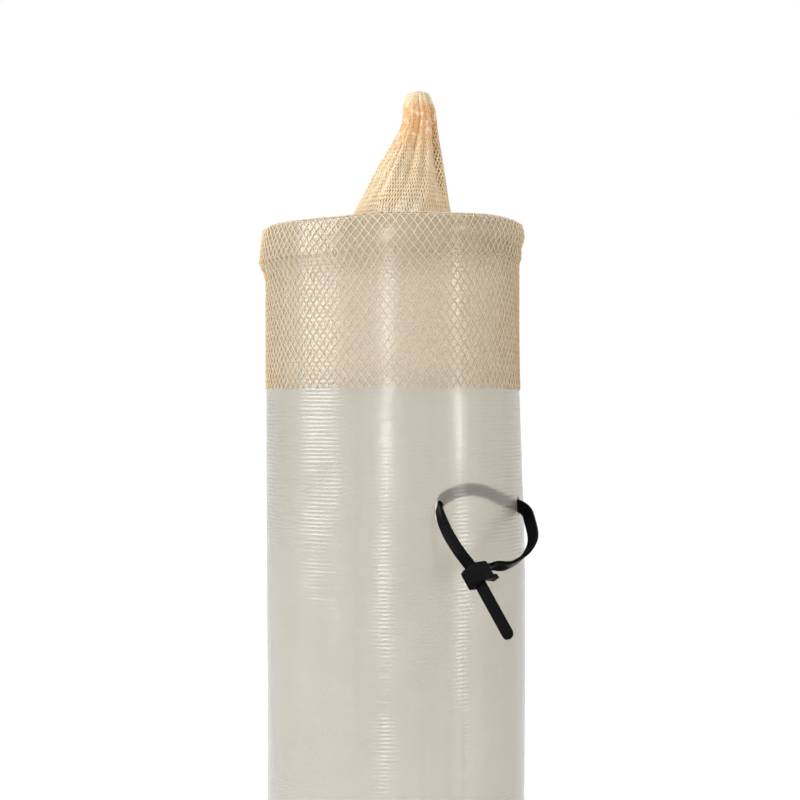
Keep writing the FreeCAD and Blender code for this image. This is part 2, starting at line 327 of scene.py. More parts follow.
class Spline:
    """A smooth line through points, spaced by the distances between them."""

    def __init__(self, points, start=None, end=None):
        self.points = np.asarray(points, float)
        gaps = np.linalg.norm(np.diff(self.points, axis=0), axis=1)
        self.marks = np.concatenate([[0.0], np.cumsum(gaps)])
        count = len(self.points)
        matrix = np.eye(count)
        sums = np.zeros_like(self.points)
        slopes = np.diff(self.points, axis=0) / gaps[:, None]
        for i in range(1, count - 1):
            matrix[i, i - 1:i + 2] = gaps[i], 2 * (gaps[i] + gaps[i - 1]), gaps[i - 1]
            sums[i] = 3 * (gaps[i] * slopes[i - 1] + gaps[i - 1] * slopes[i])
        sums[0] = slopes[0] if start is None else start
        sums[-1] = slopes[-1] if end is None else end
        self.tangents = np.linalg.solve(matrix, sums)

    def at(self, places):
        """Points and directions at distances along the line's marks."""
        places = np.clip(places, 0.0, self.marks[-1])
        step = np.clip(np.searchsorted(self.marks, places, side="right") - 1, 0,
                       len(self.marks) - 2)
        width = (self.marks[step + 1] - self.marks[step])[:, None]
        t = (places[:, None] - self.marks[step][:, None]) / width
        p, q = self.points[step], self.points[step + 1]
        u, v = self.tangents[step] * width, self.tangents[step + 1] * width
        point = ((2 * t ** 3 - 3 * t ** 2 + 1) * p + (t ** 3 - 2 * t ** 2 + t) * u
                 + (3 * t ** 2 - 2 * t ** 3) * q + (t ** 3 - t ** 2) * v)
        slope = ((6 * t ** 2 - 6 * t) * (p - q) + (3 * t ** 2 - 4 * t + 1) * u
                 + (3 * t ** 2 - 2 * t) * v)
        return point, slope / np.linalg.norm(slope, axis=1)[:, None]


# ---------------------------------------------------------------- settings

class TubeSettings(bpy.types.PropertyGroup):
    """Sizes and colour of the tube."""
    height: FloatProperty(name="Height", description="From the cut base to the top of the lip",
                          default=TUBE_TOP, unit="LENGTH")
    radius: FloatProperty(name="Radius", description="Outside radius of the plain wall",
                          default=0.053, unit="LENGTH")
    wall: FloatProperty(name="Wall", description="Thickness of the plastic",
                        default=0.0007, unit="LENGTH")
    lean: FloatProperty(name="Lean", description="How far one side leans in under the lip",
                        default=0.0029, unit="LENGTH")
    unevenness: FloatProperty(name="Unevenness", description="How far the wall is out of round",
                              default=0.0004, unit="LENGTH")
    lip_depth: FloatProperty(name="Lip Depth", description="How far the folded lip hangs down",
                             default=0.0142, unit="LENGTH")
    tilt: FloatProperty(name="Rim Tilt", description="How far the rim rises towards +X",
                        default=0.0013, unit="LENGTH")
    slot_height: FloatProperty(name="Slot Height", description="Length of the slots for the tie",
                               default=0.0078, unit="LENGTH")
    slot_width: FloatProperty(name="Slot Width", description="Width of the slots for the tie",
                              default=0.0037, unit="LENGTH")
    pitch: FloatProperty(name="Tear Pitch", description="Spacing of the tear line's pricks",
                         default=0.0017, unit="LENGTH")
    prick: FloatProperty(name="Prick Radius", description="Radius of a prick's raised rim",
                         default=0.00042, unit="LENGTH")
    colour: FloatVectorProperty(name="Colour", description="Colour of the milky plastic",
                                default=linear(229, 226, 219), subtype="COLOR", size=3)


class NetSettings(bpy.types.PropertyGroup):
    """Sizes and colour of the net."""
    columns: IntProperty(name="Columns", description="Diamonds round the net", default=100)
    side: FloatProperty(name="Mesh Side", description="Length of one side of a diamond",
                        default=0.00280, unit="LENGTH")
    bunching: FloatProperty(name="Bunching", description="How much shorter the peak's sides are",
                            default=0.38, subtype="FACTOR")
    yarn: FloatProperty(name="Yarn", description="Thickness of the yarn",
                        default=0.0004, unit="LENGTH")
    knot: FloatProperty(name="Knot", description="Radius of a knitted crossing",
                        default=0.00033, unit="LENGTH")
    hem: FloatProperty(name="Hem", description="Height of the net's lower edge",
                       default=HEM, unit="LENGTH")
    unevenness: FloatProperty(name="Unevenness", description="How far crossings stray",
                              default=0.00013, unit="LENGTH")
    seed: IntProperty(name="Seed", description="Seed of the crossings' straying", default=7)
    colour: FloatVectorProperty(name="Colour", description="Colour of the yarn",
                                default=linear(250, 226, 187), subtype="COLOR", size=3)


class TieSettings(bpy.types.PropertyGroup):
    """Sizes and colour of the releasable tie."""
    width: FloatProperty(name="Width", description="Width of the strap",
                         default=0.0048, unit="LENGTH")
    thickness: FloatProperty(name="Thickness", description="Thickness of the strap",
                             default=0.0013, unit="LENGTH")
    tooth_pitch: FloatProperty(name="Tooth Pitch", description="Spacing of the ratchet teeth",
                               default=0.0011, unit="LENGTH")
    tooth_height: FloatProperty(name="Tooth Height", description="Height of the ratchet teeth",
                                default=0.00032, unit="LENGTH")
    voxel: FloatProperty(name="Rounding", description="Rounding of the moulded head's edges",
                         default=0.00014, unit="LENGTH")
    colour: FloatVectorProperty(name="Colour", description="Colour of the nylon",
                                default=(0.0022, 0.0023, 0.0028), subtype="COLOR", size=3)


class StageSettings(bpy.types.PropertyGroup):
    """Camera and light."""
    eye: FloatVectorProperty(name="Eye", description="Place of the camera",
                             default=(0.00165, -0.689, 0.234), subtype="TRANSLATION", size=3)
    lens: FloatProperty(name="Lens", description="Focal length in millimetres", default=75.15)
    key: FloatProperty(name="Key Light", description="Power of the soft key light in watts",
                       default=10.0)
    sky: FloatProperty(name="Sky Light", description="Level of the even light all round",
                       default=0.89)


# ---------------------------------------------------------------- tube

def wall_radius(tube, angle, height):
    """Outside radius of the wall at a bearing and a height."""
    lean = tube.lean * smooth(height, 0.160, 0.268) * np.maximum(0, np.sin(angle)) ** 1.5
    sway = (0.5 * np.sin(2 * angle + 1.3 + 14 * height) + 0.3 * np.sin(3 * angle - 25 * height)
            + 0.2 * np.sin(5 * angle + 41 * height + 2.0))
    return tube.radius - lean + tube.unevenness * sway


def tube_profile(tube, angle, wall_rows=84, fold_rows=8, lip_rows=12):
    """Middle line of the wall, its fold and the lip, as radius and height for each bearing."""
    angle = np.asarray(angle, float)[:, None]
    right = smooth(np.sin(angle), -0.7, 0.7)
    rim = (tube.height + tube.tilt * np.sin(angle) + 0.0003 * np.sin(3 * angle + 0.6)
           + 0.0002 * np.sin(7 * angle + 2.0))
    fold = FOLD_RADIUS + 0 * angle
    centre = rim - tube.wall / 2 - fold
    wall_z = centre * np.linspace(0, 1, wall_rows)
    wall_r = wall_radius(tube, angle, wall_z) - tube.wall / 2
    turn = np.linspace(0, math.pi, fold_rows + 2)[1:-1]
    fold_r = wall_r[:, -1:] + fold * (1 - np.cos(turn))
    fold_z = centre + fold * np.sin(turn)
    down = np.linspace(0, 1, lip_rows)
    ragged = 0.0005 * np.sin(2 * angle + 0.5) + 0.0003 * np.sin(5 * angle + 1.0)
    lip_z = centre - (centre - (rim - tube.lip_depth - ragged)) * down
    left_reach = 0.0011 * down
    right_reach = (0.0008 * np.sin(math.pi * np.minimum(down / 0.62, 1))
                   - 0.0007 * smooth(down, 0.35, 0.75))
    wave = (0.00022 * np.sin(4 * angle + 1.0) + 0.00012 * np.sin(9 * angle + 2.0)) * down
    reach = 2 * fold + left_reach * (1 - right) + right_reach * right + wave
    lip_r = wall_radius(tube, angle, lip_z) - tube.wall / 2 + reach
    return (np.hstack([wall_r, fold_r, lip_r]), np.hstack([wall_z, fold_z, lip_z]),
            {"wall": wall_rows, "lip": lip_rows})


def offset_profile(radius, height, distance):
    """The profile moved sideways, to the right of its run from the base upwards."""
    along_r = np.gradient(radius, axis=1)
    along_z = np.gradient(height, axis=1)
    size = np.hypot(along_r, along_z)
    return radius + distance * along_z / size, height - distance * along_r / size


def round_points(angle, radius, height):
    """Points round the tube's axis from bearings, radii and heights."""
    angle = np.broadcast_to(np.asarray(angle, float)[:, None], radius.shape)
    return np.stack([radius * np.sin(angle), -radius * np.cos(angle), height], axis=2)


def slot_cutter(tube, bearing):
    """A long bar with round ends, through the wall at a bearing."""
    half = tube.slot_width / 2
    straight = tube.slot_height / 2 - half
    outline = []
    for i in range(24):
        turn = 2 * math.pi * (i + 0.5) / 24
        lift = straight if math.sin(turn) > 0 else -straight
        outline.append((half * math.cos(turn), half * math.sin(turn) + lift))
    out = np.array([math.sin(math.radians(bearing)), -math.cos(math.radians(bearing)), 0])
    side = np.array([-out[1], out[0], 0])
    up = np.array([0, 0, 1])
    rings = [[out * reach + side * a + up * (SLOT_HEIGHT + b) for a, b in outline]
             for reach in (tube.radius - 0.006, tube.radius + 0.003)]
    count = len(outline)
    faces = [list(range(count))[::-1], [count + i for i in range(count)]]
    faces += [(i, (i + 1) % count, count + (i + 1) % count, count + i) for i in range(count)]
    return mesh_from("slot_cutter", rings[0] + rings[1], faces)


def milky_plastic(tube):
    """Thin translucent extruded plastic: fine ripples round it, draw lines along it."""
    f = Finish("milky_plastic")
    ripples = f.node("ShaderNodeTexWave", {"wave_type": "BANDS", "bands_direction": "Z"},
                     {"Vector": f.stretched((60, 60, 200)), "Scale": 1.0, "Distortion": 3.2,
                      "Detail": 1.0, "Detail Scale": 0.4}, out="Fac")
    broad = f.noise((20, 20, 420), detail=1.0)
    lines = f.noise((300, 300, 4), detail=1.0)
    clouds = f.noise((30, 30, 22), detail=1.5, roughness=0.5)
    specks = f.between(f.noise((900, 900, 900), detail=1.0), 0.72, 0.80)
    where = f.between(f.noise((55, 55, 45), detail=1.0), 0.35, 0.65)
    height = ripples * (0.12 + 0.30 * where) + 0.55 * broad
    normal = f.bump(height, 0.00020)
    normal = f.bump(clouds, 0.0007, after=normal)
    pale = f.between(lines, 0.3, 0.7) * 0.35 + 0.65 * f.between(clouds, 0.25, 0.75)
    colour = tuple(tube.colour)
    dull = (colour[0] * 0.93, colour[1] * 0.93, colour[2] * 0.89, 1)
    tone = f.blend(pale, dull, (*colour, 1))
    tone = f.blend(specks * 0.18, tone, (0.42, 0.38, 0.31, 1))
    # painted light: the plastic under the net is painted lighter, to make up for the shade the net
    # casts on it
    painted_light_under_net = f.between(f.lift(), HEM - 0.004, HEM + 0.012)
    tone = f.blend(painted_light_under_net, tone, (0.875, 0.835, 0.755, 1))
    rough = 0.20 + 0.08 * clouds
    return f.surface({"Base Color": tone, "Roughness": rough, "Transmission Weight": 0.86,
                      "IOR": 1.49, "Normal": normal})


class TREEGUARD_OT_tube(bpy.types.Operator):
    """Build the tube with its folded lip and its two slots"""
    bl_idname = "treeguard.tube"
    bl_label = "Tube"

    def execute(self, context):
        tube = context.scene.treeguard_tube
        columns = 300
        angle = np.linspace(0, 2 * math.pi, columns, endpoint=False)
        radius, height, _ = tube_profile(tube, angle)
        outer = round_points(angle, *offset_profile(radius, height, tube.wall / 2))
        inner = round_points(angle, *offset_profile(radius, height, -tube.wall / 2))
        outer[:, 0, 2] = inner[:, 0, 2] = 0.0
        rings = np.concatenate([outer, inner[:, ::-1]], axis=1)
        rows = rings.shape[1]
        faces = []
        for i in range(columns):
            j = (i + 1) % columns
            for k in range(rows):
                m = (k + 1) % rows
                faces.append((i * rows + k, j * rows + k, j * rows + m, i * rows + m))
        mesh = mesh_from("tube", rings.reshape(-1, 3), faces)
        plastic = milky_plastic(tube)
        piece = new_piece(context, "tube", mesh, plastic)
        cutters = []
        for number, bearing in enumerate(SLOT_BEARINGS):
            cutter = new_piece(context, "cutter_%d" % number, slot_cutter(tube, bearing))
            cut = piece.modifiers.new("slot_%d" % number, "BOOLEAN")
            cut.solver = "EXACT"
            cut.object = cutter
            cutters.append(cutter)
        settle(context, piece)
        for cutter in cutters:
            bpy.data.objects.remove(cutter)
        if len(piece.data.polygons) < len(faces) / 2:
            raise RuntimeError("the slots were not cut")
        shade(piece.data)
        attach(piece, "tube")
        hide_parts("shelter_tube")
        return {"FINISHED"}


class TREEGUARD_OT_tear_line(bpy.types.Operator):
    """Build the line of pricks along which the tube tears open"""
    bl_idname = "treeguard.tear_line"
    bl_label = "Tear Line"

    def execute(self, context):
        tube = context.scene.treeguard_tube
        bearing = math.radians(TEAR_LINE_BEARING)
        heights = np.linspace(0.003, tube.height - tube.lip_depth - 0.004, 120)
        radius = wall_radius(tube, bearing, heights) - 0.00004
        out = np.array([math.sin(bearing), -math.cos(bearing), 0.0])
        points = [out * r + np.array([0, 0, z]) for r, z in zip(radius, heights)]
        piece = line_piece(context, "tear_line", points, [out] * len(points),
                           [(0, 0, 1)] * len(points))
        b = Builder("pricks", {"Pitch": tube.pitch, "Radius": tube.prick, "Height": 0.06 * MM,
                               "Seed": 3})
        crater = b.node("GeometryNodeCurveToMesh", None,
                        {"Curve": b.circle(8, b.given("Radius")),
                         "Profile Curve": b.circle(4, b.given("Height"))})
        size = b.node("FunctionNodeRandomValue", {"data_type": "FLOAT"},
                      {2: 0.75, 3: 1.15, "Seed": b.given("Seed")}, out=1)
        pricks = b.node("GeometryNodeInstanceOnPoints", None,
                        {"Points": b.spaced(), "Instance": crater, "Rotation": b.facing(),
                         "Scale": size})
        b.finish(pricks, bpy.data.materials["milky_plastic"])
        b.grow(context, piece)
        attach(piece, "tube")
        return {"FINISHED"}


# ---------------------------------------------------------------- net

def net_lines(tube, net, angle, skirt_rows=22, crown_rows=60):
    """The net's run from hem to peak at each bearing: points, and their mean distance along."""
    angle = np.asarray(angle, float)
    radius, height, rows = tube_profile(tube, angle)
    gap = net.yarn / 2 + NET_CLEARANCE
    lip_r, lip_z = radius[:, -rows["lip"]:], height[:, -rows["lip"]:]
    edge_r, edge_z = lip_r[:, -1:], lip_z[:, -1:]
    proud = edge_r - (wall_radius(tube, angle[:, None], edge_z) - tube.wall / 2)
    meet_z = edge_z - 2.6 * proud
    hem = net.hem + 0.0003 * np.sin(3 * angle + 1)[:, None] + 0.0003
    skirt_z = hem + (meet_z - hem) * np.linspace(0, 1, skirt_rows)
    skirt_r = wall_radius(tube, angle[:, None], skirt_z) + gap
    bridge = np.linspace(0, 1, 5)[1:-1]
    bridge_z = meet_z + (edge_z - meet_z) * bridge
    bridge_r = skirt_r[:, -1:] + (edge_r + tube.wall / 2 + gap - skirt_r[:, -1:]) * bridge ** 1.3
    over_r = lip_r[:, ::-1] + tube.wall / 2 + gap
    over_z = lip_z[:, ::-1]
    fold = (lip_r[:, :1] - radius[:, rows["wall"] - 1:rows["wall"]]) / 2
    centre_r = lip_r[:, :1] - fold
    centre_z = lip_z[:, :1]
    turn = np.linspace(math.pi, 0.42 * math.pi, 9)[1:]
    reach = fold + tube.wall / 2 + gap
    fold_r = centre_r - reach * np.cos(turn)
    fold_z = centre_z + reach * np.sin(turn)
    # the crown leaves the lip and gathers into its leaning peak
    rings = np.array(CROWN_RINGS) * MM
    start = np.array([fold_r.mean(), fold_z.mean() - tube.height, 0.0])
    run = Spline(np.vstack([start, rings]))
    crown, _ = run.at(np.linspace(0, run.marks[-1], crown_rows + 1)[1:])
    inward = crown[:, 0][None, :] / start[0]
    near = smooth(inward, 0.45, 1.0)
    gather = smooth(crown[:, 1][None, :], 0.004, 0.030)
    column = angle[:, None]
    pleats = (0.09 * np.sin(7 * column - math.pi / 2) + 0.05 * np.sin(12 * column)
              + 0.05 * np.sin(19 * column - math.pi / 2)) * gather
    crown_r = crown[:, 0][None, :] * (fold_r[:, -1:] / start[0] * near + (1 - near)) * (1 + pleats)
    crown_z = (tube.height + crown[:, 1][None, :]
               + (fold_z[:, -1:] - tube.height - start[1]) * near)
    shift = np.broadcast_to(crown[:, 2][None, :], crown_r.shape)
    all_r = np.hstack([skirt_r, bridge_r, over_r, fold_r, crown_r])
    all_z = np.hstack([skirt_z, bridge_z, over_z, fold_z, crown_z])
    points = round_points(angle, all_r, all_z)
    points[:, -crown_rows:, 0] += shift
    steps = np.linalg.norm(np.diff(points, axis=1), axis=2).mean(axis=0)
    return points, np.concatenate([[0.0], np.cumsum(steps)]), all_r.mean(axis=0)


def knit_rows(net, places, radii):
    """Distances from the hem of each row of crossings, closer where the net is wide or bunched."""
    rows = [0.0]
    while True:
        girth = 2 * math.pi * np.interp(rows[-1], places, radii)
        side = net.side * (1 - net.bunching * smooth(rows[-1], BUNCHED_FROM, BUNCHED_BY))
        half = min(girth / net.columns / 2, side * 0.95)
        step = math.sqrt(side ** 2 - half ** 2)
        if rows[-1] + step > places[-1]:
            return np.array(rows + [places[-1]])
        rows.append(rows[-1] + step)


def net_yarn(net):
    """Dyed knitted yarn, with painted light: painted shade on the skirt, a painted deeper band
    where it bunches, and painted glints on the crown.
    """
    f = Finish("net_yarn")
    twist = f.node("ShaderNodeTexWave", {"wave_type": "BANDS", "bands_direction": "DIAGONAL"},
                   {"Vector": f.place, "Scale": 900.0, "Distortion": 3.0, "Detail": 1.0},
                   out="Fac")
    patches = f.noise((130, 130, 130), detail=2.0)
    # painted highlight: pale glints painted on the crown's yarn
    painted_glints = f.between(f.noise((520, 520, 320), detail=1.0), 0.52, 0.66)
    colour = tuple(net.colour)
    lift = f.lift()
    # painted shade: a band near the peak is painted deeper orange, standing in for light scattered
    # among the bunched layers
    bunched = f.between(lift, 0.328, 0.348) - f.between(lift, 0.353, 0.358)
    painted_deep_colour = (colour[0] * 0.90, colour[1] * 0.60, colour[2] * 0.36, 1)
    pale = (min(1, colour[0] * 1.05), min(1, colour[1] * 1.12), min(1, colour[2] * 1.25), 1)
    dull = (*(c * 0.94 for c in colour), 1)
    base = f.blend(f.between(patches, 0.3, 0.7), dull, (*colour, 1))
    # painted shade: the skirt's yarn is painted darker and the crown's lighter, standing in for the
    # light each gets
    painted_skirt_shade = (colour[0] * 0.85, colour[1] * 0.82, colour[2] * 0.79, 1)
    base = f.blend(f.between(lift, 0.285, 0.306), painted_skirt_shade, base)
    base = f.blend(bunched * 0.8, base, painted_deep_colour)
    base = f.blend(painted_glints * f.between(lift, 0.306, 0.312) * 0.8, base, pale)
    rough = 0.48 + 0.2 * patches
    return f.surface({"Base Color": base, "Roughness": rough, "Sheen Weight": 0.15,
                      "Transmission Weight": 0.22, "IOR": 1.3, "Normal": f.bump(twist, 0.00006)})


class TREEGUARD_OT_net(bpy.types.Operator):
    """Knit the net over the lip, with its hem below and its gathered peak above"""
    bl_idname = "treeguard.net"
    bl_label = "Net"

    def execute(self, context):
        tube = context.scene.treeguard_tube
        net = context.scene.treeguard_net
        fine = 8 * net.columns
        angle = np.linspace(0, 2 * math.pi, fine, endpoint=False)
        lines, places, radii = net_lines(tube, net, angle)
        rows = knit_rows(net, places, radii)
        # one grid of crossings, half a column apart from row to row
        level = np.stack([np.stack([np.interp(rows, places, lines[i, :, k]) for k in range(3)],
                                   axis=1) for i in range(fine)])
        rng = np.random.default_rng(net.seed)
        stray = rng.normal(0, net.unevenness, (2 * net.columns, len(rows), 2))
        crossing = np.zeros((2 * net.columns, len(rows), 3))
        for j in range(len(rows)):
            girth = np.linalg.norm(np.diff(level[:, j], axis=0), axis=1).sum()
            tight = min(1.0, girth / (net.columns * OPEN_COLUMN))
            drift = 0.6 * math.sin(j * 0.11 + 0.5)
            for i in range(2 * net.columns):
                spot = (i * fine / (2 * net.columns) + drift
                        + stray[i, j, 0] * tight / max(girth, 1e-6) * fine) % fine
                low = int(spot)
                share = spot - low
                crossing[i, j] = (level[low, j] * (1 - share)
                                  + level[(low + 1) % fine, j] * share)
                steady = 0.4 if rows[j] > HELD_FROM else 1.0
                crossing[i, j, 2] += stray[i, j, 1] * tight * steady
        slack = smooth(rows, BUNCHED_FROM, BUNCHED_BY)
        points, edges, knots, loose = [], [], [], []
        for hand in (1, -1):
            for strand in range(net.columns):
                for j in range(len(rows)):
                    column = (2 * strand + hand * j) % (2 * net.columns)
                    if j:
                        edges.append((len(points) - 1, len(points)))
                    points.append(crossing[column, j])
                    knots.append(1.0 if hand == 1 else 0.0)
                    loose.append(1.0 + 0.7 * slack[j])
        # cut ends of yarn at the hem
        for strand in range(2 * net.columns):
            first = strand * len(rows)
            end = points[first] + (points[first] - points[first + 1]) * rng.uniform(0.15, 0.33)
            edges.append((len(points), first))
            points.append(end)
            knots.append(0.0)
            loose.append(1.0)
        mesh = mesh_from("net", points, edges=edges)
        mesh.attributes.new("knot", "FLOAT", "POINT").data.foreach_set("value", knots)
        mesh.attributes.new("swell", "FLOAT", "POINT").data.foreach_set("value", loose)
        piece = new_piece(context, "net", mesh)
        b = Builder("knitting", {"Yarn Radius": net.yarn / 2, "Knot Radius": net.knot,
                                 "Seed": net.seed})
        strands = b.node("GeometryNodeMeshToCurve", None, {0: b.given("Geometry")})
        yarn = b.node("GeometryNodeCurveToMesh", None,
                      {"Curve": strands, "Profile Curve": b.circle(4, b.given("Yarn Radius")),
                       "Scale": b.named("swell", "FLOAT"), "Fill Caps": True})
        ball = b.node("GeometryNodeMeshUVSphere", None,
                      {"Segments": 4, "Rings": 2, "Radius": b.given("Knot Radius")})
        size = b.node("FunctionNodeRandomValue", {"data_type": "FLOAT"},
                      {2: 0.85, 3: 1.2, "Seed": b.given("Seed")}, out=1)
        stitches = b.node("GeometryNodeInstanceOnPoints", None,
                          {"Points": b.given("Geometry"), "Selection": b.named("knot", "FLOAT"),
                           "Instance": ball, "Scale": size})
        both = b.node("GeometryNodeJoinGeometry")
        b.tree.links.new(yarn.socket, both.socket.node.inputs[0])
        b.tree.links.new(stitches.socket, both.socket.node.inputs[0])
        b.finish(both, net_yarn(net))
        b.grow(context, piece)
        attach(piece, "net")
        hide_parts("net_skirt", "net_crown")
        # as knitted the net is as long as its rows are at the skirt's girth
        width = 2 * math.pi * radii[0]
        length = (len(rows) - 1) * math.sqrt(net.side ** 2 - (width / net.columns / 2) ** 2)
        return {"FINISHED"}


# ---------------------------------------------------------------- tie

def chord_frame():
    """The middle of the line between the slots, half its length, and its three directions."""
    middle = math.radians(sum(SLOT_BEARINGS) / 2)
    spread = math.radians((SLOT_BEARINGS[1] - SLOT_BEARINGS[0]) / 2)
    out = np.array([math.sin(middle), -math.cos(middle), 0.0])
    up = np.array([0.0, 0.0, 1.0])
    along = np.cross(up, out)
    centre = out * WALL_MIDDLE * math.cos(spread) + up * SLOT_HEIGHT
    return centre, WALL_MIDDLE * math.sin(spread), along, out, up


def chord_direction(along, out, up):
    """A direction along, out from and up from the line between the slots."""
    _, _, along_dir, out_dir, up_dir = chord_frame()
    return along_dir * along + out_dir * out + up_dir * up


def chord_point(share, out, up):
    """A point at a share of half the line between the slots, out and up from it in mm."""
    centre, half, _, _, _ = chord_frame()
    return centre + chord_direction(share * half, out * MM, up * MM)


def head_frame():
    """The head's middle, and its thread, root and width directions."""
    thread = chord_direction(*HEAD_THREAD)
    thread /= np.linalg.norm(thread)
    root = chord_direction(*HEAD_ROOT)
    root -= thread * root.dot(thread)
    root /= np.linalg.norm(root)
    return chord_point(*HEAD_PLACE), thread, root, np.cross(thread, root)


def head_point(root, thread, width=0.0):
    """A point in the head's own frame, in mm."""
    middle, thread_dir, root_dir, width_dir = head_frame()
    return middle + (root_dir * root + thread_dir * thread + width_dir * width) * MM


def strap_line(count):
    """The strap's middle line from the tail's tip to the root, with its two cross directions."""
    _, thread, root, width = head_frame()
    stations = [(head_point(0, t), width) for t in TAIL_STATIONS]
    stations += [(chord_point(*entry[:3]), chord_direction(*entry[3])) for entry in ROUTE]
    stations += [(head_point(NECK_END + 1.5, NECK_MIDDLE), width),
                 (head_point(NECK_END, NECK_MIDDLE), width)]
    line = Spline([p for p, _ in stations], start=-thread, end=-root)
    places = np.linspace(0, line.marks[-1], count)
    points, run = line.at(places)
    hints = np.stack([np.interp(places, line.marks, [w[k] for _, w in stations])
                      for k in range(3)], axis=1)
    across = hints - run * np.sum(hints * run, axis=1)[:, None]
    across /= np.linalg.norm(across, axis=1)[:, None]
    length = np.concatenate([[0], np.cumsum(np.linalg.norm(np.diff(points, axis=0), axis=1))])
    return points, run, across, np.cross(run, across), length


def black_nylon(tie):
    """Moulded black nylon: a fine sparked skin, with scuffed high spots."""
    f = Finish("black_nylon")
    grain = f.noise((2600, 2600, 2600), detail=2.0)
    flow = f.noise((260, 260, 900), detail=2.0)
    haze = f.between(f.noise((190, 190, 190), detail=3.0, roughness=0.7), 0.45, 0.75)
    colour = tuple(tie.colour)
    base = f.blend(haze * 0.6, (*colour, 1), (colour[0] * 2.0, colour[1] * 2.0, colour[2] * 2.1, 1))
    rough = 0.34 + 0.14 * haze + 0.08 * flow
    normal = f.bump(grain, 0.00003)
    normal = f.bump(flow, 0.00008, after=normal)
    return f.surface({"Base Color": base, "Roughness": rough, "IOR": 1.53,
                      "Specular IOR Level": 0.03, "Normal": normal})


class TREEGUARD_OT_strap(bpy.types.Operator):
    """Build the strap in its loop, with edge rails and ratchet teeth on its inner face"""
    bl_idname = "treeguard.strap"
    bl_label = "Strap"

    def execute(self, context):
        tie = context.scene.treeguard_tie
        points, run, across, through, length = strap_line(340)
        total = length[-1]
        half, thick = tie.width / 2, tie.thickness / 2
        tip = np.interp(length, np.array([0, 0.15, 0.5, 1.0, 1.7, 2.6]) * MM,
                        [0.26, 0.46, 0.68, 0.84, 0.96, 1.0])
        tip_thick = np.interp(length, np.array([0, 0.4, 1.2]) * MM, [0.55, 0.9, 1.0])
        floor = (thick - tie.tooth_height * smooth(length, 5 * MM, 8 * MM)
                 * (1 - smooth(length, total - 9 * MM, total - 7 * MM)))
        channel = 0.00010 * smooth(length, 3 * MM, 5 * MM)
        rail, corner = 0.62 * MM, 0.22 * MM
        rings = []
        for i in range(len(points)):
            edge = [(half - 1.4 * rail, -thick + channel[i]), (half - rail, -thick),
                    (half - corner, -thick), (half - 0.3 * corner, -thick + 0.3 * corner),
                    (half, -thick + corner), (half, thick - corner),
                    (half - 0.3 * corner, thick - 0.3 * corner), (half - corner, thick),
                    (half - rail, thick), (half - 1.2 * rail, floor[i])]
            outline = edge + [(-x, y) for x, y in reversed(edge)]
            rings.append([points[i] + across[i] * (x * tip[i]) + through[i] * (y * tip_thick[i])
                          for x, y in outline])
        count = len(rings[0])
        faces = [list(range(count)),
                 [(len(rings) - 1) * count + k for k in range(count)][::-1]]
        for i in range(len(rings) - 1):
            for k in range(count):
                m = (k + 1) % count
                faces.append((i * count + k, (i + 1) * count + k,
                              (i + 1) * count + m, i * count + m))
        mesh = mesh_from("tie_band", np.array(rings).reshape(-1, 3), faces)
        b = bmesh.new()
        b.from_mesh(mesh)
        bmesh.ops.recalc_face_normals(b, faces=b.faces)
        b.to_mesh(mesh)
        b.free()
        shade(mesh, 0.5)
        nylon = black_nylon(tie)
        piece = new_piece(context, "strap", mesh, nylon)
        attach(piece, "tie")
        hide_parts("tie_strap")

        toothed = (length > 8 * MM) & (length < total - 9 * MM)
        seats = points + through * (thick - tie.tooth_height - 0.02 * MM)
        teeth = line_piece(context, "strap_teeth", seats[toothed], through[toothed],
                           run[toothed])
        t = Builder("teeth", {"Pitch": tie.tooth_pitch, "Height": tie.tooth_height,
                              "Width": tie.width - 2.5 * rail})
        # a wedge: a three-sided prism lying across the strap
        size = t.node("ShaderNodeCombineXYZ", None,
                      {"X": t.given("Pitch") * 0.62, "Y": t.given("Height") * 0.667,
                       "Z": t.given("Width")})
        wedge = t.node("GeometryNodeMeshCylinder", {"fill_type": "NGON"},
                       {"Vertices": 3, "Radius": 1.0, "Depth": 1.0})
        shaped = t.node("GeometryNodeTransform", None,
                        {"Geometry": wedge, "Rotation": Euler((0, 0, math.pi / 2))})
        sized = t.node("GeometryNodeTransform", None, {"Geometry": shaped, "Scale": size})
        laid = t.node("GeometryNodeTransform", None,
                      {"Geometry": sized, "Rotation": Euler((math.pi / 2, 0, 0))})
        rows = t.node("GeometryNodeInstanceOnPoints", None,
                      {"Points": t.spaced(), "Instance": laid, "Rotation": t.facing()})
        t.finish(rows, nylon, smooth=False)
        t.grow(context, teeth)
        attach(teeth, "tie")
        return {"FINISHED"}


def head_block(b, root, thread, width):
    """Add a block in the head's own frame to a mesh, from ranges in mm."""
    corners = [b.verts.new(head_point(r, t, w)) for w in width for t in thread for r in root]
    for loop in ((0, 1, 3, 2), (4, 6, 7, 5), (0, 4, 5, 1), (2, 3, 7, 6), (0, 2, 6, 4),
                 (1, 5, 7, 3)):
        b.faces.new([corners[k] for k in loop])


def moulded(context, name, node, blocks, voxel):
    """A rounded moulding from a measured part's own shape and some added blocks."""
    b = bmesh.new()
    b.from_mesh(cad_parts[node].data)
    bmesh.ops.remove_doubles(b, verts=b.verts, dist=1e-6)
    for block in blocks:
        head_block(b, *block)
    mesh = bpy.data.meshes.new(name)
    b.to_mesh(mesh)
    b.free()
    piece = new_piece(context, name, mesh)
    remesh = piece.modifiers.new("skin", "REMESH")
    remesh.mode = "VOXEL"
    remesh.voxel_size = voxel
    soften = piece.modifiers.new("soften", "SMOOTH")
    soften.factor = 0.5
    soften.iterations = 3
    settle(context, piece)
    piece.data.materials.clear()
    piece.data.materials.append(bpy.data.materials["black_nylon"])
    piece.data.shade_smooth()
    return piece


